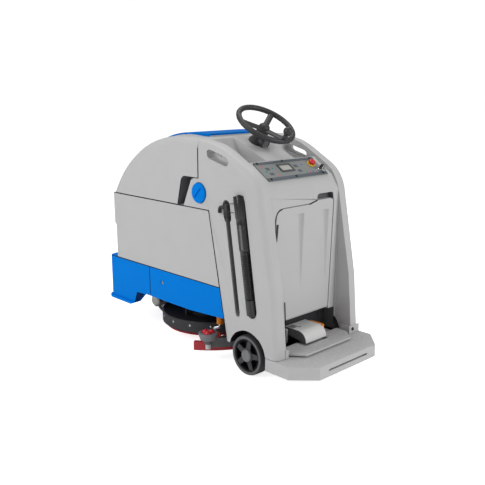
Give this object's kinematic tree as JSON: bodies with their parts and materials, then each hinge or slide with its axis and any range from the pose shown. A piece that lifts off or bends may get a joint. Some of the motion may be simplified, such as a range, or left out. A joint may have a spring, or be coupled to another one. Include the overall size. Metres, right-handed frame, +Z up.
{
  "type": "stand-on floor scrubber",
  "caption": "Stand-on floor scrubber with a disc brush deck, curved squeegee, steered drive wheel, tipping recovery tank, rear console with steering wheel and a step-on platform.",
  "frame": {"origin": "on the floor, under the middle of the machine's overall box", "axes": "+X to the operator's right, +Y forward in the direction of travel, +Z up"},
  "size_m": [0.8212, 1.623, 1.3265],
  "materials": {
    "bare_steel": "turned",
    "black_painted_steel": "satin paint",
    "black_plastic": "moulded, fine grain",
    "black_rubber": "matt",
    "blue_moulding": "moulded, semi-gloss",
    "cast_aluminium": "cast and machined",
    "dark_grey_plastic": "moulded, fine grain",
    "display_window": "gloss",
    "grey_moulding": "moulded, satin",
    "orange_plastic": "semi-gloss",
    "panel_film": "satin film",
    "red_bristle": "satin",
    "red_plastic": "gloss",
    "red_rubber": "satin",
    "tyre_rubber": "matt",
    "yellow_plastic": "semi-gloss"
  },
  "bodies": {
    "machine": {"chassis_frame": "black_painted_steel", "rear_axle": "bare_steel", "left_axle_cap": "dark_grey_plastic", "right_axle_cap": "dark_grey_plastic", "platform": "grey_moulding", "pedal_shaft": "bare_steel", "lower_body": "grey_moulding", "tank_hinge_rod": "bare_steel", "front_bumper": "blue_moulding", "left_side_skirt": "blue_moulding", "right_side_skirt": "blue_moulding", "console_shell": "grey_moulding", "door_hinge_rod": "bare_steel", "fill_neck": "black_plastic", "steering_boot": "black_rubber", "control_panel": "panel_film", "display_window": "display_window", "estop_collar": "yellow_plastic", "key_switch": "bare_steel", "drain_hose": "black_rubber", "drain_plug": "black_plastic", "level_hose": "black_rubber", "hose_fitting": "black_plastic", "steering_bearing": "bare_steel", "deck_lift_actuator": "black_plastic", "left_battery": "black_plastic", "right_battery": "black_plastic", "vacuum_motor": "black_plastic", "drive_controller": "dark_grey_plastic", "solution_valve": "orange_plastic"},
    "left_wheel": {"left_rear_tyre": "tyre_rubber", "left_rear_hub": "black_plastic"},
    "right_wheel": {"right_rear_tyre": "tyre_rubber", "right_rear_hub": "black_plastic"},
    "step": {"step_plate": "grey_moulding"},
    "pedal": {"drive_pedal": "grey_moulding"},
    "tank": {"recovery_tank": "grey_moulding", "lid_hinge_rod": "bare_steel"},
    "lid": {"recovery_lid": "blue_moulding"},
    "door": {"rear_door": "grey_moulding"},
    "cap": {"fill_cap": "blue_moulding"},
    "steering": {"steering_wheel": "black_plastic", "steering_shaft": "bare_steel"},
    "knob": {"spinner_knob": "black_plastic"},
    "stop_button": {"estop_button": "red_plastic"},
    "ignition_key": {"key": "black_plastic"},
    "drive_unit": {"drive_fork": "black_painted_steel", "drive_motor": "cast_aluminium"},
    "drive_wheel": {"drive_tyre": "tyre_rubber", "drive_hub": "cast_aluminium"},
    "deck": {"deck_housing": "black_plastic", "deck_skirt": "black_rubber", "brush_motor": "black_plastic", "deck_lift_rod": "bare_steel"},
    "disc": {"brush": "red_bristle"},
    "squeegee": {"squeegee_beam": "dark_grey_plastic", "front_blade": "red_rubber", "rear_blade": "red_rubber"},
    "left_guard": {"left_guard_roller": "dark_grey_plastic"},
    "right_guard": {"right_guard_roller": "dark_grey_plastic"}
  },
  "joints": [
    {"name": "steering_turn", "type": "hinge", "parent": "machine", "child": "steering", "pos_m": [0, -0.2285, 1.231], "axis": [0, -0.5388, 0.8425], "range_deg": [-150, 150]},
    {"name": "drive_steer", "type": "hinge", "parent": "machine", "child": "drive_unit", "pos_m": [0, 0.6285, 0.104], "axis": [0, 0, 1], "range_deg": [-50, 50]},
    {"name": "drive_wheel_spin", "type": "hinge", "parent": "drive_unit", "child": "drive_wheel", "pos_m": [0, 0.6285, 0.104], "axis": [1, 0, 0], "continuous": true},
    {"name": "left_wheel_spin", "type": "hinge", "parent": "machine", "child": "left_wheel", "pos_m": [-0.291, -0.4215, 0.104], "axis": [1, 0, 0], "continuous": true},
    {"name": "right_wheel_spin", "type": "hinge", "parent": "machine", "child": "right_wheel", "pos_m": [0.291, -0.4215, 0.104], "axis": [1, 0, 0], "continuous": true},
    {"name": "knob_spin", "type": "hinge", "parent": "steering", "child": "knob", "pos_m": [-0.00527, -0.35563, 1.14969], "axis": [0, -0.5388, 0.8425], "continuous": true},
    {"name": "deck_lift", "type": "slide", "parent": "machine", "child": "deck", "axis": [0, 0, 1], "range_m": [-0.051, 0]},
    {"name": "brush_spin", "type": "hinge", "parent": "deck", "child": "disc", "pos_m": [0, 0.2135, 0.112], "axis": [0, 0, 1], "continuous": true},
    {"name": "squeegee_drop", "type": "slide", "parent": "machine", "child": "squeegee", "axis": [0, 0, 1], "range_m": [-0.055, 0]},
    {"name": "left_guard_spin", "type": "hinge", "parent": "squeegee", "child": "left_guard", "pos_m": [-0.36062, -0.16912, 0.13], "axis": [0, 0, 1], "continuous": true},
    {"name": "right_guard_spin", "type": "hinge", "parent": "squeegee", "child": "right_guard", "pos_m": [0.36062, -0.16912, 0.13], "axis": [0, 0, 1], "continuous": true},
    {"name": "tank_tip", "type": "hinge", "parent": "machine", "child": "tank", "pos_m": [0.3355, 0.2785, 0.807], "axis": [0, 1, 0], "range_deg": [0, 75]},
    {"name": "lid_swing", "type": "hinge", "parent": "tank", "child": "lid", "pos_m": [0.209, 0.0335, 1.1732], "axis": [0, 1, 0], "range_deg": [0, 95]},
    {"name": "door_swing", "type": "hinge", "parent": "machine", "child": "door", "pos_m": [0, -0.49625, 0.27575], "axis": [1, 0, 0], "range_deg": [0, 70]},
    {"name": "pedal_press", "type": "hinge", "parent": "machine", "child": "pedal", "pos_m": [0, -0.4665, 0.186], "axis": [1, 0, 0], "range_deg": [0, 7], "stiffness_Nm_per_rad": 6, "springref_deg": -11.46},
    {"name": "step_press", "type": "slide", "parent": "machine", "child": "step", "axis": [0, 0, 1], "range_m": [-0.006, 0], "stiffness_N_per_m": 5000, "springref_m": 0.006},
    {"name": "cap_turn", "type": "hinge", "parent": "machine", "child": "cap", "pos_m": [-0.324, -0.0705, 0.889], "axis": [-1, 0, 0], "range_deg": [0, 90]},
    {"name": "stop_press", "type": "slide", "parent": "machine", "child": "stop_button", "axis": [0, -0.5547, 0.8321], "range_m": [-0.005, 0], "stiffness_N_per_m": 1200, "springref_m": 0.002},
    {"name": "key_turn", "type": "hinge", "parent": "machine", "child": "ignition_key", "pos_m": [0.188, -0.43676, 0.99869], "axis": [0, 0.5547, -0.8321], "range_deg": [0, 90]}
  ],
  "couplings": [
    {"joint": "drive_steer", "follows": "steering_turn", "ratio": 0.33333}
  ]
}
